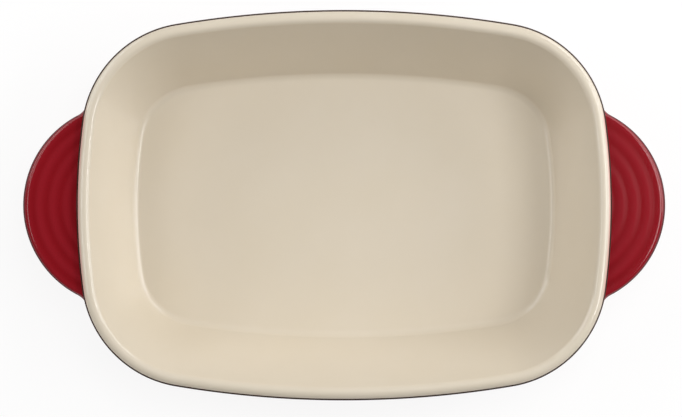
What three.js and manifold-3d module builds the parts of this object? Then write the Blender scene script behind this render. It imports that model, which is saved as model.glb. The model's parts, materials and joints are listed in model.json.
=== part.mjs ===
// Two-handled stoneware baking dish, cream glaze inside and red glaze outside.
// Millimetres, +Z up. The origin is the middle of the foot, on the surface that the dish stands on.
import * as THREE from 'three';
import { mergeVertices } from 'three/addons/utils/BufferGeometryUtils.js';
import Module from 'manifold-3d';

const wasm = await Module();
wasm.setup();

// Dish, outside sizes over the glaze
const RIM_LENGTH = 336; // over the lip, along X
const RIM_WIDTH = 245; // over the lip, along Y
const HEIGHT = 72; // from the foot to the crest of the lip
const CORNER_RADIUS = 71; // plan corners at the lip
const LONG_SIDE_BOW = 640; // plan radius of the long sides, which bow outwards
const SHORT_SIDE_BOW = 390; // plan radius of the short sides

// Clay section
const DRAFT = 20; // degrees that the wall leans out from upright
const WALL = 8.4; // wall, square to its faces
const FLOOR = 7.5;
const LIP_INNER_RADIUS = 3.4; // lip, from its crest into the dish
const COVE_RADIUS = 6; // inside, between floor and wall
const HEEL_RADIUS = 12; // outside, between wall and base

// Foot ring, left bare
const FOOT_HEIGHT = 2;
const FOOT_WIDTH = 6;
const FOOT_SETBACK = 2.5; // from the heel to the side of the foot
const FOOT_EASE = 0.5; // broken edges of the foot

// Glaze coats
const GLAZE = 0.6;
const BOND = 0.05; // hairline between clay and coat, and between two coats
const GLAZE_LINE = 55; // degrees down the outer side of the lip to where cream meets red
const WIPE_BACK = 1; // bare clay between a coat and the foot

// Handles, outside sizes over the glaze
const HANDLE_RADIUS = 63.9; // round edge in plan
const HANDLE_REACH = 34.4; // how far the round edge stands out from the lip
const HANDLE_TOP = 65; // height of the top face
const HANDLE_EDGE = 9; // thickness at the round edge
const HANDLE_EDGE_ROUND = 5; // how far in the round edge starts
const HANDLE_TAPER = 5; // degrees that the underside falls towards the wall
const PLAN_FILLET = 14; // in plan, where the round edge meets the wall
const ROOT_FILLET = 5; // in section, where the underside meets the wall
const SLIP_JOINT = 0.3; // clearance between a handle and the wall it is luted to

// Thumb rings, pressed into the top of a handle round the centre of its edge
const RING_COUNT = 3;
const RING_OUTER = 57.6; // radius of the outermost ring
const RING_PITCH = 8.4;
const RING_WIDTH = 6.6;
const RING_DEPTH = 0.4;
const RING_RISE = 0.5; // how far the shape that presses a ring stands above the face

// Facets
const SHORT_SIDE_STEPS = 3; // half a side
const CORNER_STEPS = 8;
const LONG_SIDE_STEPS = 3; // half a side
const ROUND_STEPS = 4; // cove and heel
const LIP_STEPS = 3; // each of the lip's three arcs
const FILLET_STEPS = 3;
const HANDLE_STEPS = 7; // half the round edge
const EDGE_STEPS = 6; // over the round edge
const RING_STEPS = 4; // across one ring
const RING_TURN_STEPS = 40; // round one ring

const lean = THREE.MathUtils.degToRad(DRAFT);
const quarterTurn = Math.PI / 2;
const handleCentre = RIM_LENGTH / 2 + HANDLE_REACH - HANDLE_RADIUS;

// Of the two points at the given distances from two centres, the one further to the upper right.
function meetingPoint(first, firstDistance, second, secondDistance) {
  const span = second.clone().sub(first);
  const apart = span.length();
  span.divideScalar(apart);
  const along = (apart ** 2 + firstDistance ** 2 - secondDistance ** 2) / (2 * apart);
  const across = Math.sqrt(firstDistance ** 2 - along ** 2);
  const square = new THREE.Vector2(-span.y, span.x);
  if (square.x + square.y < 0) square.negate();
  return first.clone().addScaledVector(span, along).addScaledVector(square, across);
}

function angleFrom(centre, point) {
  return Math.atan2(point.y - centre.y, point.x - centre.x);
}

function arcPoints(centre, radius, from, to, steps) {
  return Array.from({ length: steps + 1 }, (_, step) => {
    const angle = THREE.MathUtils.lerp(from, to, step / steps);
    return new THREE.Vector2(Math.cos(angle), Math.sin(angle)).multiplyScalar(radius).add(centre);
  });
}

// Plan outline of the lip: bowed sides and round corners, all tangent arcs
const longSide = { centre: new THREE.Vector2(0, RIM_WIDTH / 2 - LONG_SIDE_BOW), radius: LONG_SIDE_BOW };
const shortSide = { centre: new THREE.Vector2(RIM_LENGTH / 2 - SHORT_SIDE_BOW, 0), radius: SHORT_SIDE_BOW };
const corner = {
  centre: meetingPoint(
    longSide.centre, LONG_SIDE_BOW - CORNER_RADIUS, shortSide.centre, SHORT_SIDE_BOW - CORNER_RADIUS,
  ),
  radius: CORNER_RADIUS,
};
const cornerStart = angleFrom(shortSide.centre, corner.centre);
const cornerEnd = angleFrom(longSide.centre, corner.centre);

// Point and outward normal of the outline where its normal has the given angle
function station(angle) {
  const normal = new THREE.Vector2(Math.cos(angle), Math.sin(angle));
  const turn = Math.atan2(Math.abs(normal.y), Math.abs(normal.x));
  let side = corner;
  if (turn < cornerStart) side = shortSide;
  if (turn > cornerEnd) side = longSide;
  const quadrant = new THREE.Vector2(Math.sign(normal.x), Math.sign(normal.y));
  const point = side.centre.clone().multiply(quadrant).addScaledVector(normal, side.radius);
  return { point, normal };
}

function stretch(from, to, steps) {
  return Array.from({ length: steps }, (_, step) => THREE.MathUtils.lerp(from, to, step / steps));
}

// Stations all round the outline, anticlockwise from +X
function outlineStations() {
  const quarter = [
    ...stretch(0, cornerStart, SHORT_SIDE_STEPS),
    ...stretch(cornerStart, cornerEnd, CORNER_STEPS),
    ...stretch(cornerEnd, quarterTurn, LONG_SIDE_STEPS),
  ];
  const half = [...quarter, quarterTurn, ...quarter.slice(1).reverse().map((angle) => Math.PI - angle)];
  return [...half, ...half.map((angle) => Math.PI + angle)].map(station);
}

const outline = outlineStations();

function onStation({ point, normal }, { x: offset, y: height }) {
  const plan = point.clone().addScaledVector(normal, offset);
  return new THREE.Vector3(plan.x, plan.y, height);
}

// A skin over a stack of closed rings: closed on itself, or capped by a point at each end
function stackRings(rings, caps) {
  const count = rings[0].length;
  const points = rings.flat();
  const faces = [];
  const last = caps ? rings.length - 1 : rings.length;
  for (let ring = 0; ring < last; ring += 1) {
    const near = ring * count;
    const far = ((ring + 1) % rings.length) * count;
    for (let side = 0; side < count; side += 1) {
      const next = (side + 1) % count;
      faces.push(near + side, far + side, far + next, near + side, far + next, near + next);
    }
  }
  if (caps) {
    const first = points.push(...caps) - 2;
    for (let side = 0; side < count; side += 1) {
      const next = (side + 1) % count;
      faces.push(first, side, next, first + 1, last * count + next, last * count + side);
    }
  }
  const geometry = new THREE.BufferGeometry().setFromPoints(points).setIndex(faces);
  geometry.computeVertexNormals();
  return geometry;
}

// A section of (offset from the outline, height) points carried round the dish.
// An open section is closed over the middle of the dish at both ends.
function carryRound(section, closed) {
  const rings = section.map((corner) => outline.map((place) => onStation(place, corner)));
  if (closed) return stackRings(rings);
  const caps = [section[0], section.at(-1)].map((corner) => new THREE.Vector3(0, 0, corner.y));
  return stackRings(rings, caps);
}

// Clay section: arc centres as (offset from the outline, height)
const lipOuterRadius = (WALL - LIP_INNER_RADIUS * (1 - Math.sin(lean))) / (1 + Math.sin(lean));
const crest = new THREE.Vector2(-lipOuterRadius - GLAZE, HEIGHT - GLAZE);
const lipInnerCentre = new THREE.Vector2(crest.x, crest.y - LIP_INNER_RADIUS);
const lipOuterCentre = new THREE.Vector2(crest.x, crest.y - lipOuterRadius);
const floorHeight = FOOT_HEIGHT + FLOOR;

// Offset of the wall's inner face at a height
function innerFace(height) {
  const reach = LIP_INNER_RADIUS / Math.cos(lean);
  return lipInnerCentre.x - reach - (lipInnerCentre.y - height) * Math.tan(lean);
}

// Offset of the wall's outer face at a height, under a coat of the given thickness
function outerFace(height, coat) {
  const reach = (lipOuterRadius + coat) / Math.cos(lean);
  return lipOuterCentre.x + reach - (lipOuterCentre.y - height) * Math.tan(lean);
}

const coveHeight = floorHeight + COVE_RADIUS;
const coveCentre = new THREE.Vector2(innerFace(coveHeight) - COVE_RADIUS / Math.cos(lean), coveHeight);
const heelHeight = FOOT_HEIGHT + HEEL_RADIUS;
const heelCentre = new THREE.Vector2(outerFace(heelHeight, 0) - HEEL_RADIUS / Math.cos(lean), heelHeight);
const footOuter = heelCentre.x - FOOT_SETBACK;
const footInner = footOuter - FOOT_WIDTH;
const glazeLine = quarterTurn - THREE.MathUtils.degToRad(GLAZE_LINE);

// Floor, cove, wall and lip as far as the glaze line, under a coat of the given thickness
function insideRun(coat) {
  return [
    ...arcPoints(coveCentre, COVE_RADIUS - coat, -quarterTurn, -lean, ROUND_STEPS),
    ...arcPoints(lipInnerCentre, LIP_INNER_RADIUS + coat, Math.PI - lean, quarterTurn, LIP_STEPS),
    ...arcPoints(lipOuterCentre, lipOuterRadius + coat, quarterTurn, glazeLine, LIP_STEPS).slice(1),
  ];
}

// Lip from the given angle, wall and heel as far as the base, under a coat of the given thickness
function outsideRun(coat, from) {
  return [
    ...arcPoints(lipOuterCentre, lipOuterRadius + coat, from, -lean, LIP_STEPS),
    ...arcPoints(heelCentre, HEEL_RADIUS + coat, -lean, -quarterTurn, ROUND_STEPS),
  ];
}

// Body: floor, wall and lip, on a bare foot ring
function stonewareBody() {
  const foot = [
    [footOuter, FOOT_HEIGHT],
    [footOuter, FOOT_EASE],
    [footOuter - FOOT_EASE, 0],
    [footInner + FOOT_EASE, 0],
    [footInner, FOOT_EASE],
    [footInner, FOOT_HEIGHT],
  ].map(([offset, height]) => new THREE.Vector2(offset, height));
  return carryRound([...insideRun(0), ...outsideRun(0, glazeLine).slice(1), ...foot], false);
}

// Cream coat over the floor, the wall and the lip
function linerGlaze() {
  return carryRound([...insideRun(GLAZE), ...insideRun(BOND).reverse()], false);
}

// Red coat on the base, inside the foot ring
function baseGlaze() {
  const edge = footInner - WIPE_BACK;
  const faces = [BOND, GLAZE].map((coat) => new THREE.Vector2(edge, FOOT_HEIGHT - coat));
  return carryRound(faces, false);
}

// Red coat on the wall, from the glaze line to the foot
function wallGlaze() {
  const start = glazeLine - BOND / lipOuterRadius;
  const end = footOuter + WIPE_BACK;
  const outer = [...outsideRun(GLAZE, start), new THREE.Vector2(end, FOOT_HEIGHT - GLAZE)];
  const inner = [...outsideRun(BOND, start), new THREE.Vector2(end, FOOT_HEIGHT - BOND)];
  return carryRound([...outer, ...inner.reverse()], true);
}

// All that lies inside the outer faces of the dish, to cut a handle to the wall
function dishBlock(coat) {
  return carryRound(outsideRun(coat, quarterTurn), false);
}

// Where a point of a handle's clay edge lies: its station on the outline, its offset from there, and
// how far along the station's normal the edge moves out for each millimetre of coat
function edgeStation(point, facing) {
  const side = angleFrom(shortSide.centre, point) > cornerStart ? corner : shortSide;
  const place = station(angleFrom(side.centre, point));
  const slant = facing.length() / facing.dot(place.normal);
  return { place, offset: point.distanceTo(side.centre) - side.radius, slant };
}

function acrossX({ place: { point, normal }, ...rest }) {
  const flip = new THREE.Vector2(1, -1);
  return { place: { point: point.clone().multiply(flip), normal: normal.clone().multiply(flip) }, ...rest };
}

// Stations along a handle's clay edge, from one end inside the wall to the other
function handleStations() {
  const centre = new THREE.Vector2(handleCentre, 0);
  const radius = HANDLE_RADIUS - GLAZE;
  const wall = outerFace(HANDLE_TOP - HANDLE_EDGE / 2, 0);
  const filletOn = (side) => meetingPoint(
    centre, radius + PLAN_FILLET, side.centre, side.radius + wall + PLAN_FILLET,
  );
  const side = angleFrom(corner.centre, filletOn(corner)) > cornerStart ? corner : shortSide;
  const filletCentre = filletOn(side);
  const wallEnd = angleFrom(side.centre, filletCentre);
  const edgeEnd = angleFrom(centre, filletCentre);
  const buried = {
    place: station(wallEnd + PLAN_FILLET / FILLET_STEPS / side.radius),
    offset: wall - PLAN_FILLET / FILLET_STEPS,
    slant: 1,
  };
  const fillet = arcPoints(filletCentre, PLAN_FILLET, Math.PI + wallEnd, Math.PI + edgeEnd, FILLET_STEPS)
    .slice(0, -1)
    .map((point) => edgeStation(point, filletCentre.clone().sub(point)));
  const edge = arcPoints(centre, radius, edgeEnd, 0, HANDLE_STEPS)
    .map((point) => edgeStation(point, point.clone().sub(centre)));
  const half = [buried, ...fillet, ...edge];
  return [...half, ...half.slice(0, -1).reverse().map(acrossX)];
}

// Section of a handle under a coat, for a round edge at the given offset from the outline
function handleSection(edgeOffset, coat) {
  const top = HANDLE_TOP - GLAZE + coat;
  const middle = HANDLE_TOP - HANDLE_EDGE / 2;
  const halfEdge = top - middle;
  const round = HANDLE_EDGE_ROUND - GLAZE + coat;
  const edgeStart = edgeOffset - round;
  const run = Math.max(edgeStart - outerFace(middle, 0), 0);
  const under = middle - halfEdge - run * Math.tan(THREE.MathUtils.degToRad(HANDLE_TAPER));
  const fillet = ROOT_FILLET - coat;
  const foot = under - fillet;
  const root = Math.min(outerFace(foot, coat) + fillet - SLIP_JOINT - BOND, edgeStart);
  const back = outerFace(foot, 0) - HANDLE_EDGE_ROUND - 2 * ROOT_FILLET;
  const edge = arcPoints(new THREE.Vector2(), 1, quarterTurn, -quarterTurn, EDGE_STEPS)
    .map(({ x, y }) => new THREE.Vector2(edgeStart + round * x, middle + halfEdge * y));
  return [
    new THREE.Vector2(back, top),
    ...edge,
    ...arcPoints(new THREE.Vector2(root, foot), fillet, quarterTurn, Math.PI, FILLET_STEPS),
    new THREE.Vector2(back, foot),
  ];
}

// The groove of one thumb ring as a turned ring, for a handle under a coat
function thumbRing(radius, coat) {
  const bend = (RING_WIDTH ** 2 / 4 + RING_DEPTH ** 2) / (2 * RING_DEPTH);
  const centre = new THREE.Vector2(radius, HANDLE_TOP - GLAZE - RING_DEPTH + bend);
  const spread = Math.acos(1 - (RING_DEPTH + RING_RISE) / bend);
  const groove = arcPoints(centre, bend - coat, -quarterTurn - spread, -quarterTurn + spread, RING_STEPS);
  const ring = new THREE.LatheGeometry([...groove, groove[0]], RING_TURN_STEPS);
  return ring.rotateX(quarterTurn).translate(handleCentre, 0, 0);
}

function toSolid(geometry) {
  const bare = geometry.clone();
  bare.deleteAttribute('normal');
  bare.deleteAttribute('uv');
  const merged = mergeVertices(bare);
  const vertProperties = merged.getAttribute('position').array;
  const triVerts = Uint32Array.from(merged.getIndex().array);
  return new wasm.Manifold(new wasm.Mesh({ numProp: 3, vertProperties, triVerts }));
}

function toGeometry(solid) {
  const { vertProperties, triVerts } = solid.getMesh();
  const geometry = new THREE.BufferGeometry();
  geometry.setAttribute('position', new THREE.BufferAttribute(vertProperties, 3));
  geometry.setIndex(new THREE.BufferAttribute(triVerts, 1));
  geometry.computeVertexNormals();
  return geometry;
}

// Right-hand handle under a coat, with its root still running on into the dish
function handleSolid(coat) {
  const sections = handleStations().map(({ place, offset, slant }) => (
    { place, section: handleSection(offset + coat * slant, coat) }
  ));
  const rings = sections.map(({ place, section }) => section.map((corner) => onStation(place, corner)));
  const caps = [sections[0], sections.at(-1)].map(({ place, section }) => {
    const heart = new THREE.Vector2(section[0].x, HANDLE_TOP - HANDLE_EDGE / 2);
    return onStation(place, heart);
  });
  let solid = toSolid(stackRings(rings, caps));
  for (let ring = 0; ring < RING_COUNT; ring += 1) {
    solid = solid.subtract(toSolid(thumbRing(RING_OUTER - ring * RING_PITCH, coat)));
  }
  return solid;
}

// Clay handle, cut to the wall that it is luted to
function stonewareHandle() {
  return toGeometry(handleSolid(0).subtract(toSolid(dishBlock(SLIP_JOINT))));
}

// One red coat over the wall and both handles
function outerGlaze() {
  const skin = handleSolid(GLAZE).subtract(toSolid(dishBlock((BOND + GLAZE) / 2)));
  const core = handleSolid(BOND);
  const halfTurn = [0, 0, 180];
  const coat = toSolid(wallGlaze()).add(skin).add(skin.rotate(halfTurn));
  return toGeometry(coat.subtract(core).subtract(core.rotate(halfTurn)));
}

const clay = new THREE.MeshStandardMaterial({ color: '#cdbfa6', roughness: 0.85, metalness: 0 });
const cream = new THREE.MeshStandardMaterial({ color: '#e4d9c2', roughness: 0.15, metalness: 0 });
const red = new THREE.MeshStandardMaterial({ color: '#8c1a23', roughness: 0.15, metalness: 0 });

function piece(name, geometry, material) {
  const mesh = new THREE.Mesh(geometry, material);
  mesh.name = name;
  return mesh;
}

const handleShape = stonewareHandle();
const leftHandle = piece('left_handle', handleShape, clay);
leftHandle.rotation.z = Math.PI;

const bakingDish = new THREE.Group();
bakingDish.add(
  piece('stoneware_body', stonewareBody(), clay),
  leftHandle,
  piece('right_handle', handleShape, clay),
  piece('cream_liner_glaze', linerGlaze(), cream),
  piece('red_outer_glaze', outerGlaze(), red),
  piece('red_base_glaze', baseGlaze(), red),
);

export default bakingDish;
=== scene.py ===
"""Glazed stoneware baking dish: smooth coats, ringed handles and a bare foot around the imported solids."""

import json
import math
from itertools import pairwise

import bmesh
import bpy
from mathutils import Matrix, Vector

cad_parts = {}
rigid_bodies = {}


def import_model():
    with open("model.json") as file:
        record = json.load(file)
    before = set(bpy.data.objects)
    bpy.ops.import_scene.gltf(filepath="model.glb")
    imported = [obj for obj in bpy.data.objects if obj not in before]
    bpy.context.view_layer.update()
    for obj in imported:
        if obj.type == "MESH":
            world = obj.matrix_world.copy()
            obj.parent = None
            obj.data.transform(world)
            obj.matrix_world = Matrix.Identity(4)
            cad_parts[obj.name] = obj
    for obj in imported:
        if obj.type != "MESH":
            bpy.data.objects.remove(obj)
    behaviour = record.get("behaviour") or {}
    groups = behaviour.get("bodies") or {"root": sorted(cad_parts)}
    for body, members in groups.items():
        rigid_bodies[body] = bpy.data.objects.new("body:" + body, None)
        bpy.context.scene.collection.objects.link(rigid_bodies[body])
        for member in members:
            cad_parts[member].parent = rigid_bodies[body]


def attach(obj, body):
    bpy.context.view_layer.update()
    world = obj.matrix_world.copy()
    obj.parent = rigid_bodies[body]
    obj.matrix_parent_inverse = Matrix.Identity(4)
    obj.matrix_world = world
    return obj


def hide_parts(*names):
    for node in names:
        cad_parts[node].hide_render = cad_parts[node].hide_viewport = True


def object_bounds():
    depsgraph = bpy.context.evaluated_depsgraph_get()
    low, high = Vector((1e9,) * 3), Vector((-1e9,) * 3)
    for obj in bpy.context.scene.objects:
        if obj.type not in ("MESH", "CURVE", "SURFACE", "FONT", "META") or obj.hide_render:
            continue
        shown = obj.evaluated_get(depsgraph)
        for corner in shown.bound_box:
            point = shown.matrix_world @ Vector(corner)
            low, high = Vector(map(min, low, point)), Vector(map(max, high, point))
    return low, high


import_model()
cad_low, cad_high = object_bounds()

MM = 0.001

# Plan of the lip over its glaze, millimetres
RIM_LENGTH = 336
RIM_WIDTH = (cad_high.y - cad_low.y) / MM
CORNER_RADIUS = 71
LONG_SIDE_BOW = 640
SHORT_SIDE_BOW = 390

# Section of the clay, millimetres
HEIGHT = (cad_high.z - cad_low.z) / MM
LEAN = math.radians(20)
WALL = 8.4
FLOOR = 7.5
LIP_INNER_RADIUS = 3.4
COVE_RADIUS = 6
FLOOR_FLATS = (0.4, 1.2, 3)
HEEL_RADIUS = 12
FOOT_HEIGHT = 2
FOOT_WIDTH = 6
FOOT_SETBACK = 2.5
FOOT_EASE = 0.5

# Share of the floor's width that is left between the long sides
FLOOR_NARROWING = 0.932

# Glaze coats, millimetres
GLAZE = 0.6
BOND = 0.05
GLAZE_LINE = math.radians(50)
WIPE_BACK = 1
BASE_BORDER = 2
GLAZE_EDGE_ROUND = 0.2

# Handles over their glaze, millimetres
HANDLE_RADIUS = 63.9
HANDLE_REACH = (cad_high.x - cad_low.x) / MM / 2 - RIM_LENGTH / 2
HANDLE_TOP = 65
HANDLE_EDGE = 9
HANDLE_TAPER = math.radians(5)
PLAN_FILLET = 12
ROOT_SWEEP = 16
TOP_FILLET = 0.5
UNDER_FILLET = 6
ROOT_SINK = 1

# Dark band on the handles' round edge, partly a glaze break and partly painted shade: middle, half widths,
# and the millimetres out where it is full
EDGE_BREAK_AND_SHADE = math.radians(15)
EDGE_BREAK_AND_SHADE_FULL = math.radians(16.875)
EDGE_BREAK_AND_SHADE_END = math.radians(45)
EDGE_BREAK_AND_SHADE_CLEAR = 6

# Thumb rings on the handles, millimetres and shares
RING_CREST = 53.4
RING_PITCH = 8.4
RING_DEPTH = 0.16
RING_FALL = 0.42
RING_FADE_START = 0.3
RING_FADE_FULL = 0.9

# Fineness
SHORT_SIDE_STEPS = 20
CORNER_STEPS = 36
LONG_SIDE_STEPS = 24
ARC_STEPS = 12
FINE_ARC_STEPS = 20
HANDLE_STEPS = 90
HANDLE_FILLET_STEPS = 14
HANDLE_ROUND = 150
GLAZE_EDGE_STEPS = 3
SHARP_EDGE = math.radians(60)
CREASE = math.radians(40)
WELD = 0.01
FINE_WELD = 0.001

# Finishes, millimetres. The grit is drawn coarser than real grit, so that it shows.
CREAM_CLOUDS = 45
CREAM_RIPPLE = 5
# Rosy tint on the lip beside the handles: partly a scant cream coat over the red, partly a painted
# reflection of the red handles
ROSY_START = 60
ROSY_FULL = 140
ROSY_SPAN = 50
ROSY_SPAN_END = 64
RED_CLOUDS = 25
RED_RIPPLE = 6
# Heights where the red turns brown on the lip's outer side: partly a glaze break, partly painted shade
LIP_BREAK_AND_SHADE_START = 66
LIP_BREAK_AND_SHADE_FULL = 68
RIPPLE_DEPTH = 0.05
CLAY_GRIT = 1.5
CLAY_GRIT_DEPTH = 0.1

# Stage, metres
PAPER_SIZE = 40
LAMP_DISTANCE = 1.6

# Photograph's frame, pixels, its scale at the lip, and the camera's lens and sensor, millimetres
PHOTO_WIDTH = 682
PHOTO_HEIGHT = 417
DISH_CENTRE = (344.2, 205.2)
PIXEL = 0.6275 * MM
CAMERA_LENS = 105
CAMERA_SENSOR = 36


def part_way(value, start, end):
    """How far a value has come from start to end, held between 0 and 1."""
    return min(max((value - start) / (end - start), 0), 1)


def eased(share):
    """A share from 0 to 1, made to start and end gently."""
    return share * share * (3 - 2 * share)


def arc(centre, radius, start, end, steps):
    """Points round a centre, from one angle to another."""
    turns = [start + (end - start) * step / steps for step in range(steps + 1)]
    return [centre + radius * Vector((math.cos(turn), math.sin(turn))) for turn in turns]


def meeting_point(first, first_distance, second, second_distance):
    """Of the two points at these distances from two centres, the one further to the upper right."""
    span = second - first
    apart = span.length
    span = span / apart
    along = (apart**2 + first_distance**2 - second_distance**2) / (2 * apart)
    across = math.sqrt(first_distance**2 - along**2)
    square = Vector((-span.y, span.x))
    if square.x + square.y < 0:
        square = -square
    return first + along * span + across * square


def angle_from(centre, point):
    return math.atan2(point.y - centre.y, point.x - centre.x)


# Plan outline of one quarter of the lip: three tangent arcs
QUARTER = math.pi / 2
short_centre = Vector((RIM_LENGTH / 2 - SHORT_SIDE_BOW, 0))
long_centre = Vector((0, RIM_WIDTH / 2 - LONG_SIDE_BOW))
corner_centre = meeting_point(
    long_centre, LONG_SIDE_BOW - CORNER_RADIUS, short_centre, SHORT_SIDE_BOW - CORNER_RADIUS
)
corner_start = angle_from(short_centre, corner_centre)
corner_end = angle_from(long_centre, corner_centre)

# Section: centres of its arcs as (offset from the lip's outline, height)
lip_outer_radius = (WALL - LIP_INNER_RADIUS * (1 - math.sin(LEAN))) / (1 + math.sin(LEAN))
crest = Vector((-lip_outer_radius - GLAZE, HEIGHT - GLAZE))
lip_inner_centre = crest - Vector((0, LIP_INNER_RADIUS))
lip_outer_centre = crest - Vector((0, lip_outer_radius))
floor_height = FOOT_HEIGHT + FLOOR


def inner_face(height):
    """Offset of the clay wall's inner face at a height."""
    reach = LIP_INNER_RADIUS / math.cos(LEAN)
    return lip_inner_centre.x - reach - (lip_inner_centre.y - height) * math.tan(LEAN)


def outer_face(height, coat):
    """Offset of the wall's outer face at a height, with a coat of glaze on it."""
    reach = (lip_outer_radius + coat) / math.cos(LEAN)
    return lip_outer_centre.x + reach - (lip_outer_centre.y - height) * math.tan(LEAN)


cove_height = floor_height + COVE_RADIUS
cove_centre = Vector((inner_face(cove_height) - COVE_RADIUS / math.cos(LEAN), cove_height))
heel_height = FOOT_HEIGHT + HEEL_RADIUS
heel_centre = Vector((outer_face(heel_height, 0) - HEEL_RADIUS / math.cos(LEAN), heel_height))
foot_outer = heel_centre.x - FOOT_SETBACK
foot_inner = foot_outer - FOOT_WIDTH
glaze_line = QUARTER - GLAZE_LINE


def inside_run(coat, lip_angle):
    """Section from an angle on the outer side of the lip, over the lip and down to the floor."""
    floor_edge = Vector((cove_centre.x, floor_height + coat))
    flats = [floor_edge - Vector((inset, 0)) for inset in FLOOR_FLATS]
    return [
        *arc(lip_outer_centre, lip_outer_radius + coat, lip_angle, QUARTER, ARC_STEPS),
        *arc(lip_inner_centre, LIP_INNER_RADIUS + coat, QUARTER, math.pi - LEAN, ARC_STEPS)[1:],
        *arc(cove_centre, COVE_RADIUS - coat, -LEAN, -QUARTER, FINE_ARC_STEPS),
        *flats,
    ]


def outside_run(coat):
    """Section from the outermost side of the lip, down the wall and round the heel."""
    return [
        *arc(lip_outer_centre, lip_outer_radius + coat, 0, -LEAN, ARC_STEPS),
        *arc(heel_centre, HEEL_RADIUS + coat, -LEAN, -QUARTER, FINE_ARC_STEPS),
    ]


# Modelling in edit mode
def outline_face(name, offset, height):
    """A new piece in edit mode: one flat face that fills the outline at an offset from the lip's."""
    start = Vector((RIM_LENGTH / 2 + offset, 0, height)) * MM
    bpy.ops.object.select_all(action="DESELECT")
    bpy.ops.mesh.primitive_plane_add(size=MM, location=start)
    piece = bpy.context.object
    piece.name = piece.data.name = name
    bpy.ops.object.transform_apply(location=True)
    bpy.ops.object.mode_set(mode="EDIT")
    bpy.ops.mesh.select_mode(type="VERT")
    bpy.ops.mesh.merge(type="CENTER")
    quarter_arcs = (
        (short_centre, corner_start, SHORT_SIDE_STEPS),
        (corner_centre, corner_end - corner_start, CORNER_STEPS),
        (long_centre, QUARTER - corner_end, LONG_SIDE_STEPS),
    )
    for centre, turn, steps in quarter_arcs:
        middle = Vector((centre.x, centre.y, height)) * MM
        bpy.ops.mesh.spin(steps=steps, angle=turn, center=middle, axis=(0, 0, -1))
    for mirror in ((-1, 1, 1), (1, -1, 1)):
        bpy.ops.mesh.select_all(action="SELECT")
        bpy.ops.mesh.duplicate()
        bpy.ops.transform.resize(value=mirror, center_override=(0, 0, 0))
        bpy.ops.mesh.select_all(action="SELECT")
        bpy.ops.mesh.remove_doubles(threshold=WELD * MM)
    bpy.ops.mesh.edge_face_add()
    return piece


def face_selected(piece, up):
    """Turns the one selected face to look up or down."""
    mesh = bmesh.from_edit_mesh(piece.data)
    mesh.faces.ensure_lookup_table()
    chosen = next(face for face in mesh.faces if face.select)
    chosen.normal_update()
    if (chosen.normal.z > 0) != up:
        bpy.ops.mesh.flip_normals()


def is_cap(face):
    """Whether a face is the many-sided one that closes a run, and not one of its four-sided strips."""
    return len(face.verts) > 4


def select_faces(piece, wanted):
    """Selects the faces of a piece in edit mode that answer to a rule."""
    bpy.ops.mesh.select_mode(type="FACE")
    bpy.ops.mesh.select_all(action="DESELECT")
    mesh = bmesh.from_edit_mesh(piece.data)
    for face in mesh.faces:
        face.select_set(wanted(face))
    bmesh.update_edit_mesh(piece.data)


def run_in(piece, section):
    """Insets the selected face along a section whose points lie further and further in."""
    up = section[1].y > section[0].y
    face_selected(piece, up)
    rise = 1 if up else -1
    for near, far in pairwise(section):
        bpy.ops.mesh.inset(thickness=(near.x - far.x) * MM, depth=rise * (far.y - near.y) * MM)


def narrow_floor():
    """Draws the floor and its cove in from the long sides, whose inner faces lean more than the ends'."""
    for _ in range(FINE_ARC_STEPS + len(FLOOR_FLATS)):
        bpy.ops.mesh.select_more()
    bpy.ops.transform.resize(value=(1, FLOOR_NARROWING, 1), center_override=(0, 0, 0))


def smooth_shell(piece, thickness):
    """Merges the seams, leaves edit mode and gives the skin the thickness of its coat."""
    bpy.ops.mesh.select_all(action="SELECT")
    bpy.ops.mesh.remove_doubles(threshold=FINE_WELD * MM)
    bpy.ops.object.mode_set(mode="OBJECT")
    if thickness:
        coat = piece.modifiers.new("coat", "SOLIDIFY")
        coat.thickness = thickness * MM
        coat.offset = -1
        bpy.ops.object.modifier_apply(modifier=coat.name)
        edge = piece.modifiers.new("edge", "BEVEL")
        edge.width = GLAZE_EDGE_ROUND * MM
        edge.segments = GLAZE_EDGE_STEPS
        edge.limit_method = "ANGLE"
        edge.angle_limit = SHARP_EDGE
        bpy.ops.object.modifier_apply(modifier=edge.name)
    bpy.ops.object.shade_smooth()


def finish_piece(piece, material, node):
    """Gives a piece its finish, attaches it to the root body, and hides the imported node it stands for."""
    piece.data.materials.clear()
    piece.data.materials.append(material)
    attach(piece, "root")
    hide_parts(node)


def cream_liner():
    """One coat from the glaze line over the lip, the wall and the floor."""
    section = inside_run(GLAZE, glaze_line)
    piece = outline_face("cream_liner", section[0].x, section[0].y)
    run_in(piece, section)
    narrow_floor()
    smooth_shell(piece, GLAZE - BOND)
    return piece


def red_wall_coat():
    """One coat from the glaze line, round the lip's outer side and down the wall to the foot."""
    start = glaze_line - BOND / lip_outer_radius
    lip = arc(lip_outer_centre, lip_outer_radius + GLAZE, 0, start, ARC_STEPS)
    heel_end = Vector((foot_outer + WIPE_BACK, FOOT_HEIGHT - GLAZE))
    piece = outline_face("red_wall_coat", lip[0].x, lip[0].y)
    bpy.ops.mesh.duplicate()
    run_in(piece, [*outside_run(GLAZE), heel_end])
    bpy.ops.mesh.delete(type="FACE")
    select_faces(piece, is_cap)
    run_in(piece, lip)
    bpy.ops.mesh.delete(type="FACE")
    smooth_shell(piece, GLAZE - BOND)
    return piece


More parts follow.
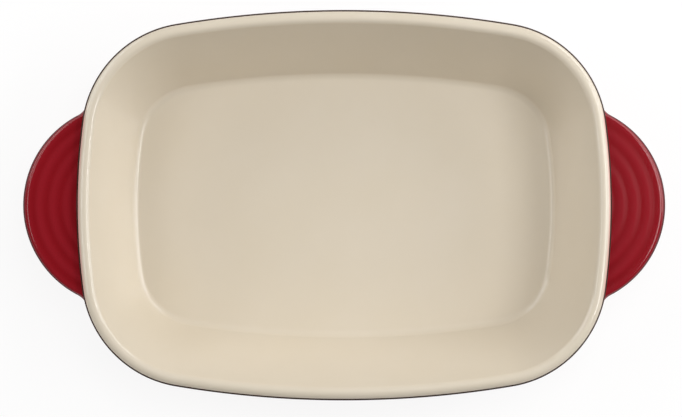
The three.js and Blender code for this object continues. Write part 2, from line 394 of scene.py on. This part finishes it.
def clay_body():
    """Tub of bare clay under the coats, on its foot ring."""
    foot = [
        Vector((foot_outer, FOOT_HEIGHT)),
        Vector((foot_outer, FOOT_EASE)),
        Vector((foot_outer - FOOT_EASE, 0)),
        Vector((foot_inner + FOOT_EASE, 0)),
        Vector((foot_inner, FOOT_EASE)),
        Vector((foot_inner, FOOT_HEIGHT)),
    ]
    outside = outside_run(0)
    piece = outline_face("clay_body", outside[0].x, outside[0].y)
    bpy.ops.mesh.duplicate()
    run_in(piece, [*outside, *foot])
    above = 2 * FOOT_HEIGHT * MM
    select_faces(piece, lambda face: is_cap(face) and face.calc_center_median().z > above)
    run_in(piece, inside_run(0, 0))
    narrow_floor()
    smooth_shell(piece, 0)
    bpy.ops.object.shade_smooth_by_angle(angle=CREASE)
    return piece


def red_base_coat():
    """Coat on the base, inside the foot ring."""
    edge = foot_inner - WIPE_BACK
    piece = outline_face("red_base_coat", edge, FOOT_HEIGHT - GLAZE)
    face_selected(piece, False)
    bpy.ops.mesh.inset(thickness=BASE_BORDER * MM)
    smooth_shell(piece, GLAZE - BOND)
    return piece


# Handles. Their roots roll into the wall on every side, which edit-mode operators can't shape, so the
# sections are worked out and lofted.
handle_centre = Vector((RIM_LENGTH / 2 + HANDLE_REACH - HANDLE_RADIUS, 0))
edge_radius = HANDLE_EDGE / 2
edge_height = HANDLE_TOP - edge_radius
wall_facing = Vector((math.cos(LEAN), -math.sin(LEAN)))
wall_rise = Vector((math.sin(LEAN), math.cos(LEAN)))
under_facing = Vector((math.sin(HANDLE_TAPER), -math.cos(HANDLE_TAPER)))


def on_outline(point):
    """Where a plan point lies: the outline's point and normal there, and the offset from the outline."""
    turn = angle_from(short_centre, point)
    if turn > corner_start:
        centre, radius = corner_centre, CORNER_RADIUS
    else:
        centre, radius = short_centre, SHORT_SIDE_BOW
    normal = (point - centre).normalized()
    return centre + radius * normal, normal, (point - centre).length - radius


def handle_stations():
    """Stations along the round edge of the right-hand handle, from one end at the wall to the other."""
    wall = outer_face(edge_height, GLAZE) - edge_radius * (1 / math.cos(LEAN) - 1)
    fillet_centre = meeting_point(
        handle_centre, HANDLE_RADIUS + PLAN_FILLET, corner_centre, CORNER_RADIUS + PLAN_FILLET
    )
    wall_end = angle_from(corner_centre, fillet_centre)
    edge_end = angle_from(handle_centre, fillet_centre)
    sweep = []
    for step in range(1, HANDLE_FILLET_STEPS):
        share = step / HANDLE_FILLET_STEPS
        turn = wall_end + (1 - share) * ROOT_SWEEP / CORNER_RADIUS
        reach = CORNER_RADIUS + wall * (1 - eased(share))
        sweep.append(corner_centre + reach * Vector((math.cos(turn), math.sin(turn))))
    fillet = arc(fillet_centre, PLAN_FILLET, math.pi + wall_end, math.pi + edge_end, HANDLE_FILLET_STEPS)
    edge = arc(handle_centre, HANDLE_RADIUS, edge_end, 0, HANDLE_STEPS)
    half = [on_outline(point) for point in [*sweep, *fillet[:-1], *edge]]
    flip = Matrix.Diagonal((1, -1))
    other = [(flip @ point, flip @ normal, offset) for point, normal, offset in reversed(half[:-1])]
    return half + other


def resting_ball(hub, facing, radius):
    """Centre of a ball that rests on the wall and on a face of a handle, and where it touches that face."""
    start = Vector((outer_face(hub.y, GLAZE), hub.y)) + radius * wall_facing
    gap = start - hub
    reach = edge_radius + radius
    centre = start + wall_rise * (reach - gap.dot(facing)) / wall_rise.dot(facing)
    outward = Vector((abs(facing.y), -math.copysign(facing.x, facing.y)))
    if (centre - hub).dot(outward) <= 0:
        return centre, centre - radius * facing
    along = gap.dot(wall_rise)
    spread = math.sqrt(max(along**2 - gap.length_squared + reach**2, 0))
    centre = start + wall_rise * (-along + math.copysign(spread, facing.y))
    return centre, hub + edge_radius * (centre - hub).normalized()


def handle_section(edge_offset):
    """Section of a handle from the wall above it to the wall below: points and the way they face."""
    hub = Vector((edge_offset - edge_radius, edge_height))
    up = Vector((0, 1))
    top_ball, top_touch = resting_ball(hub, up, TOP_FILLET)
    low_ball, low_touch = resting_ball(hub, under_facing, UNDER_FILLET)
    behind = math.pi - LEAN
    top = arc(top_ball, TOP_FILLET, behind, angle_from(top_ball, top_touch) % math.tau, FINE_ARC_STEPS)
    low = arc(low_ball, UNDER_FILLET, angle_from(low_ball, low_touch), behind, FINE_ARC_STEPS)
    arc_start = min(angle_from(hub, top_touch), QUARTER)
    arc_end = max(angle_from(hub, low_touch), -QUARTER + HANDLE_TAPER)
    flat = max((hub - top_touch).x, 0)
    under = max((hub - low_touch).dot(Vector((-under_facing.y, under_facing.x))), 0)
    bend = edge_radius * (arc_start - arc_end)
    skin = []
    for step in range(1, HANDLE_ROUND):
        run = (flat + bend + under) * step / HANDLE_ROUND
        if run < flat:
            skin.append((top_touch + Vector((run, 0)), up))
        elif run < flat + bend:
            turn = arc_start - (run - flat) / edge_radius
            facing = Vector((math.cos(turn), math.sin(turn)))
            skin.append((hub + edge_radius * facing, facing))
        else:
            share = (flat + bend + under - run) / under if under else 0
            bottom = hub + edge_radius * under_facing
            skin.append((low_touch.lerp(bottom, share), under_facing))
    return [
        (top[0] - ROOT_SINK * wall_facing, wall_facing),
        *((point, (top_ball - point).normalized()) for point in top),
        *skin,
        *((point, (low_ball - point).normalized()) for point in low),
        (low[-1] - ROOT_SINK * wall_facing, wall_facing),
    ]


def ring_depth(radius):
    """How far the top of a handle lies below its crests: each ring falls fast and rises slowly outwards."""
    if radius > RING_CREST + RING_PITCH:
        return 0
    phase = ((radius - RING_CREST) / RING_PITCH) % 1
    if phase < RING_FALL:
        wave = phase / RING_FALL / 2
    else:
        wave = 0.5 + (phase - RING_FALL) / (1 - RING_FALL) / 2
    return RING_DEPTH * (1 - math.cos(math.tau * wave)) / 2


def right_handle():
    """Half-round tab with thumb rings on its top."""
    verts = []
    pools = []
    breaks_and_shade = []
    for point, normal, offset in handle_stations():
        clear_of_wall = part_way(offset, 0, EDGE_BREAK_AND_SHADE_CLEAR)
        for (across, height), facing in handle_section(offset):
            plan = point + normal * across
            flatness = part_way(facing.y, RING_FADE_START, RING_FADE_FULL)
            depth = ring_depth((plan - handle_centre).length) * eased(flatness)
            verts.append(Vector((plan.x, plan.y, height - depth)) * MM)
            pools.append(depth / RING_DEPTH)
            # Darkens the round edge's steep outer side: partly a glaze break, partly painted shade
            off_shoulder = abs(math.atan2(facing.y, facing.x) - EDGE_BREAK_AND_SHADE)
            breaks_and_shade.append(part_way(off_shoulder, EDGE_BREAK_AND_SHADE_END, EDGE_BREAK_AND_SHADE_FULL) * clear_of_wall)
    count = len(handle_section(0))
    rings = len(verts) // count
    faces = []
    for near in range(0, (rings - 1) * count, count):
        far = near + count
        for side in range(count):
            after = (side + 1) % count
            faces.append((near + side, near + after, far + after, far + side))
    faces.append(tuple(reversed(range(count))))
    faces.append(tuple(range((rings - 1) * count, rings * count)))
    mesh = bpy.data.meshes.new("right_ringed_handle")
    mesh.from_pydata(verts, [], faces)
    for name, values in (("glaze_pool", pools), ("edge_break_and_shade", breaks_and_shade)):
        attribute = mesh.attributes.new(name, "FLOAT", "POINT")
        attribute.data.foreach_set("value", values)
    piece = bpy.data.objects.new(mesh.name, mesh)
    bpy.context.collection.objects.link(piece)
    bpy.ops.object.select_all(action="DESELECT")
    bpy.context.view_layer.objects.active = piece
    piece.select_set(True)
    bpy.ops.object.mode_set(mode="EDIT")
    bpy.ops.mesh.select_all(action="SELECT")
    bpy.ops.mesh.normals_make_consistent(inside=False)
    bpy.ops.object.mode_set(mode="OBJECT")
    bpy.ops.object.shade_smooth()
    return piece


def left_handle(right):
    """The same handle, turned half round the dish."""
    bpy.ops.object.select_all(action="DESELECT")
    bpy.context.view_layer.objects.active = right
    right.select_set(True)
    bpy.ops.object.duplicate()
    piece = bpy.context.object
    piece.name = piece.data.name = "left_ringed_handle"
    piece.rotation_euler.z = math.pi
    bpy.ops.object.transform_apply(rotation=True)
    return piece


# Materials
def linear(hex_colour):
    """An sRGB hex colour as linear red, green, blue and alpha."""
    values = [int(hex_colour[place:place + 2], 16) / 255 for place in (1, 3, 5)]
    return [v / 12.92 if v <= 0.04045 else ((v + 0.055) / 1.055) ** 2.4 for v in values] + [1]


def add_node(tree, kind, inputs=None, **settings):
    """Adds a node, sets it, and fills its sockets with values or links."""
    node = tree.nodes.new(kind)
    for name, value in settings.items():
        setattr(node, name, value)
    for socket, value in (inputs or {}).items():
        if isinstance(value, bpy.types.NodeSocket):
            tree.links.new(value, node.inputs[socket])
        else:
            node.inputs[socket].default_value = value
    return node


def new_material(name):
    material = bpy.data.materials.new(name)
    material.use_nodes = True
    material.node_tree.nodes.clear()
    return material, material.node_tree


def cream_glaze():
    """Glossy cream glaze: clouded warm white, rosy where it turns over the lip by the handles: partly a
    scant cream coat over the red, partly a painted reflection of the red handles.
    """
    material, tree = new_material("cream_glaze")
    place = add_node(tree, "ShaderNodeTexCoord")
    clouds = add_node(
        tree, "ShaderNodeTexNoise",
        {"Vector": place.outputs["Object"], "Scale": 1 / (CREAM_CLOUDS * MM), "Detail": 3},
    )
    body = add_node(
        tree, "ShaderNodeMix",
        {0: clouds.outputs["Fac"], 6: linear("#e1d6c2"), 7: linear("#e5dbca")},
        data_type="RGBA",
    )
    along = add_node(
        tree, "ShaderNodeVectorMath",
        {0: place.outputs["Normal"], 1: place.outputs["Object"]},
        operation="MULTIPLY",
    )
    outward = add_node(tree, "ShaderNodeSeparateXYZ", {0: along.outputs[0]})
    # Where the lip turns outward beside the handles: partly a scant cream coat, partly a painted reflection
    # of the red handles
    thin_and_reflected = add_node(
        tree, "ShaderNodeMapRange",
        {"Value": outward.outputs["X"], "From Min": ROSY_START * MM, "From Max": ROSY_FULL * MM},
        interpolation_type="SMOOTHSTEP",
    )
    spot = add_node(tree, "ShaderNodeSeparateXYZ", {0: place.outputs["Object"]})
    aside = add_node(tree, "ShaderNodeMath", {0: spot.outputs["Y"]}, operation="ABSOLUTE")
    beside_handle = add_node(
        tree, "ShaderNodeMapRange",
        {"Value": aside.outputs[0], "From Min": ROSY_SPAN_END * MM, "From Max": ROSY_SPAN * MM},
    )
    rosy = add_node(
        tree, "ShaderNodeMath",
        {0: thin_and_reflected.outputs["Result"], 1: beside_handle.outputs["Result"]},
        operation="MULTIPLY",
    )
    # Mixes in the rosy tint: a scant coat over the red and a painted red reflection
    colour = add_node(
        tree, "ShaderNodeMix",
        {0: rosy.outputs[0], 6: body.outputs[2], 7: linear("#e0a69d")},
        data_type="RGBA",
    )
    peel = add_node(
        tree, "ShaderNodeTexNoise",
        {"Vector": place.outputs["Object"], "Scale": 1 / (CREAM_RIPPLE * MM), "Detail": 1},
    )
    bump = add_node(
        tree, "ShaderNodeBump",
        {"Height": peel.outputs["Fac"], "Strength": 0.15, "Distance": RIPPLE_DEPTH * MM},
    )
    glaze = add_node(
        tree, "ShaderNodeBsdfPrincipled",
        {"Base Color": colour.outputs[2], "Roughness": 0.12, "IOR": 1.62, "Normal": bump.outputs["Normal"]},
    )
    add_node(tree, "ShaderNodeOutputMaterial", {"Surface": glaze.outputs["BSDF"]})
    return material


def red_glaze():
    """Glossy deep red glaze, darker where it pools in the rings.

    Where it turns over at the lip and at the handles' round edges it is dry and darker: brown at the lip,
    dark on the edges. These bands are partly a glaze break and partly painted shade.
    """
    material, tree = new_material("red_glaze")
    place = add_node(tree, "ShaderNodeTexCoord")
    clouds = add_node(
        tree, "ShaderNodeTexNoise",
        {"Vector": place.outputs["Object"], "Scale": 1 / (RED_CLOUDS * MM), "Detail": 4},
    )
    body = add_node(
        tree, "ShaderNodeMix",
        {0: clouds.outputs["Fac"], 6: linear("#83101a"), 7: linear("#8f131e")},
        data_type="RGBA",
    )
    pool = add_node(tree, "ShaderNodeAttribute", attribute_name="glaze_pool")
    pooled = add_node(
        tree, "ShaderNodeMix",
        {0: pool.outputs["Fac"], 6: linear("#931a25"), 7: body.outputs[2]},
        data_type="RGBA",
    )
    # Dark band on the handles' round edges: partly a glaze break, partly painted shade
    edge = add_node(tree, "ShaderNodeAttribute", attribute_name="edge_break_and_shade")
    edged = add_node(
        tree, "ShaderNodeMix",
        {0: edge.outputs["Fac"], 6: pooled.outputs[2], 7: linear("#4a0a12")},
        data_type="RGBA",
    )
    height = add_node(tree, "ShaderNodeSeparateXYZ", {0: place.outputs["Object"]})
    # Brown band on the lip's outer side: partly a glaze break, partly painted shade
    broken_and_shaded = add_node(
        tree, "ShaderNodeMapRange",
        {"Value": height.outputs["Z"], "From Min": LIP_BREAK_AND_SHADE_START * MM, "From Max": LIP_BREAK_AND_SHADE_FULL * MM},
        interpolation_type="SMOOTHSTEP",
    )
    colour = add_node(
        tree, "ShaderNodeMix",
        {0: broken_and_shaded.outputs["Result"], 6: edged.outputs[2], 7: linear("#3a2216")},
        data_type="RGBA",
    )
    dry = add_node(
        tree, "ShaderNodeMath", {0: broken_and_shaded.outputs["Result"], 1: edge.outputs["Fac"]}, operation="MAXIMUM"
    )
    dulled = add_node(
        tree, "ShaderNodeMapRange", {"Value": dry.outputs[0], "To Min": 0.16, "To Max": 0.9}
    )
    peel = add_node(
        tree, "ShaderNodeTexNoise",
        {"Vector": place.outputs["Object"], "Scale": 1 / (RED_RIPPLE * MM), "Detail": 1},
    )
    bump = add_node(
        tree, "ShaderNodeBump",
        {"Height": peel.outputs["Fac"], "Strength": 0.15, "Distance": RIPPLE_DEPTH * MM},
    )
    glaze = add_node(
        tree, "ShaderNodeBsdfPrincipled",
        {
            "Base Color": colour.outputs[2], "Roughness": dulled.outputs["Result"], "IOR": 1.5,
            "Normal": bump.outputs["Normal"],
        },
    )
    add_node(tree, "ShaderNodeOutputMaterial", {"Surface": glaze.outputs["BSDF"]})
    return material


def bare_stoneware():
    """Fired buff clay, wiped bare: matt, with fine dark specks and a gritty face."""
    material, tree = new_material("bare_stoneware")
    place = add_node(tree, "ShaderNodeTexCoord")
    grit = add_node(
        tree, "ShaderNodeTexNoise",
        {"Vector": place.outputs["Object"], "Scale": 1 / (CLAY_GRIT * MM), "Detail": 3},
    )
    specks = add_node(
        tree, "ShaderNodeMapRange", {"Value": grit.outputs["Fac"], "From Min": 0.62, "From Max": 0.72}
    )
    colour = add_node(
        tree, "ShaderNodeMix",
        {0: specks.outputs["Result"], 6: linear("#c9baa0"), 7: linear("#8d7a5f")},
        data_type="RGBA",
    )
    bump = add_node(
        tree, "ShaderNodeBump",
        {"Height": grit.outputs["Fac"], "Strength": 0.5, "Distance": CLAY_GRIT_DEPTH * MM},
    )
    clay = add_node(
        tree, "ShaderNodeBsdfPrincipled",
        {"Base Color": colour.outputs[2], "Roughness": 0.85, "Normal": bump.outputs["Normal"]},
    )
    add_node(tree, "ShaderNodeOutputMaterial", {"Surface": clay.outputs["BSDF"]})
    return material


def white_paper():
    """Matt white sheet with the dish's faint shadow on it. It looks the same in the glaze."""
    material, tree = new_material("white_paper")
    path = add_node(tree, "ShaderNodeLightPath")
    matt = add_node(tree, "ShaderNodeBsdfDiffuse", {"Color": linear("#eeeeee")})
    shaded = add_node(tree, "ShaderNodeBsdfDiffuse", {"Color": linear("#666666")})
    glow = add_node(tree, "ShaderNodeEmission", {"Strength": 0.88})
    lit = add_node(tree, "ShaderNodeAddShader", {0: shaded.outputs[0], 1: glow.outputs[0]})
    seen = add_node(
        tree, "ShaderNodeMath",
        {0: path.outputs["Is Camera Ray"], 1: path.outputs["Is Glossy Ray"]},
        operation="MAXIMUM",
    )
    shown = add_node(
        tree, "ShaderNodeMath",
        {0: seen.outputs[0], 1: path.outputs["Is Transmission Ray"]},
        operation="MAXIMUM",
    )
    surface = add_node(
        tree, "ShaderNodeMixShader",
        {0: shown.outputs[0], 1: matt.outputs[0], 2: lit.outputs[0]},
    )
    add_node(tree, "ShaderNodeOutputMaterial", {"Surface": surface.outputs[0]})
    return material


# Stage
def paper_floor():
    bpy.ops.mesh.primitive_plane_add(size=PAPER_SIZE)
    sheet = bpy.context.object
    sheet.name = "paper_floor"
    sheet.data.materials.append(white_paper())


def softbox(name, azimuth, elevation, size, level, mirrored):
    """A rectangular lamp aimed at the dish, mirrored in the glaze or not.

    A level of 1 alone would show a colour as it is written.
    """
    turn, rise = math.radians(azimuth), math.radians(elevation)
    way = Vector((math.cos(rise) * math.cos(turn), math.cos(rise) * math.sin(turn), math.sin(rise)))
    bpy.ops.object.light_add(type="AREA", location=LAMP_DISTANCE * way)
    lamp = bpy.context.object
    lamp.name = name
    lamp.rotation_euler = way.to_track_quat("Z", "Y").to_euler()
    lamp.data.shape = "RECTANGLE"
    lamp.data.size, lamp.data.size_y = size
    lamp.data.energy = level * math.pi**2 * LAMP_DISTANCE**2
    lamp.visible_glossy = mirrored


def studio_light():
    softbox("overhead", 60, 76, (0.6, 0.6), 0.3, False)
    softbox("right_spot", 5, 70, (0.25, 0.15), 0.003, True)
    softbox("right_window", 28, 24, (1.8, 0.6), 0.49, True)
    softbox("right_strip", 3, 51, (1.0, 0.4), 0.29, True)
    softbox("back_left_window", 146, 25, (1.2, 0.45), 0.25, True)
    softbox("left_window", 205, 28, (0.8, 0.8), 0.065, False)
    softbox("left_strip", 168, 51, (1.0, 0.3), 0.125, True)
    softbox("front_fill", 270, 28, (1.2, 0.5), 0.05, False)
    world = bpy.data.worlds.new("studio")
    bpy.context.scene.world = world
    world.use_nodes = True
    world.node_tree.nodes["Background"].inputs["Color"].default_value = linear("#ffe6c4")
    world.node_tree.nodes["Background"].inputs["Strength"].default_value = 0.045


def photo_camera():
    """Straight above the dish, with the dish a little right of and above the middle of the frame."""
    lens_pixels = PHOTO_WIDTH * CAMERA_LENS / CAMERA_SENSOR
    aside = (PHOTO_WIDTH / 2 - DISH_CENTRE[0]) * PIXEL
    below = (DISH_CENTRE[1] - PHOTO_HEIGHT / 2) * PIXEL
    lip = lip_outer_centre.y * MM
    bpy.ops.object.camera_add(location=(aside, below, lip + lens_pixels * PIXEL))
    camera = bpy.context.object
    camera.data.lens = CAMERA_LENS
    camera.data.sensor_width = CAMERA_SENSOR
    bpy.context.scene.camera = camera


cream = cream_glaze()
red = red_glaze()
clay = bare_stoneware()
finish_piece(cream_liner(), cream, "cream_liner_glaze")
finish_piece(red_wall_coat(), red, "red_outer_glaze")
finish_piece(red_base_coat(), red, "red_base_glaze")
finish_piece(clay_body(), clay, "stoneware_body")
right = right_handle()
finish_piece(left_handle(right), red, "left_handle")
finish_piece(right, red, "right_handle")
paper_floor()
studio_light()
photo_camera()
bpy.context.scene.view_settings.view_transform = "Standard"
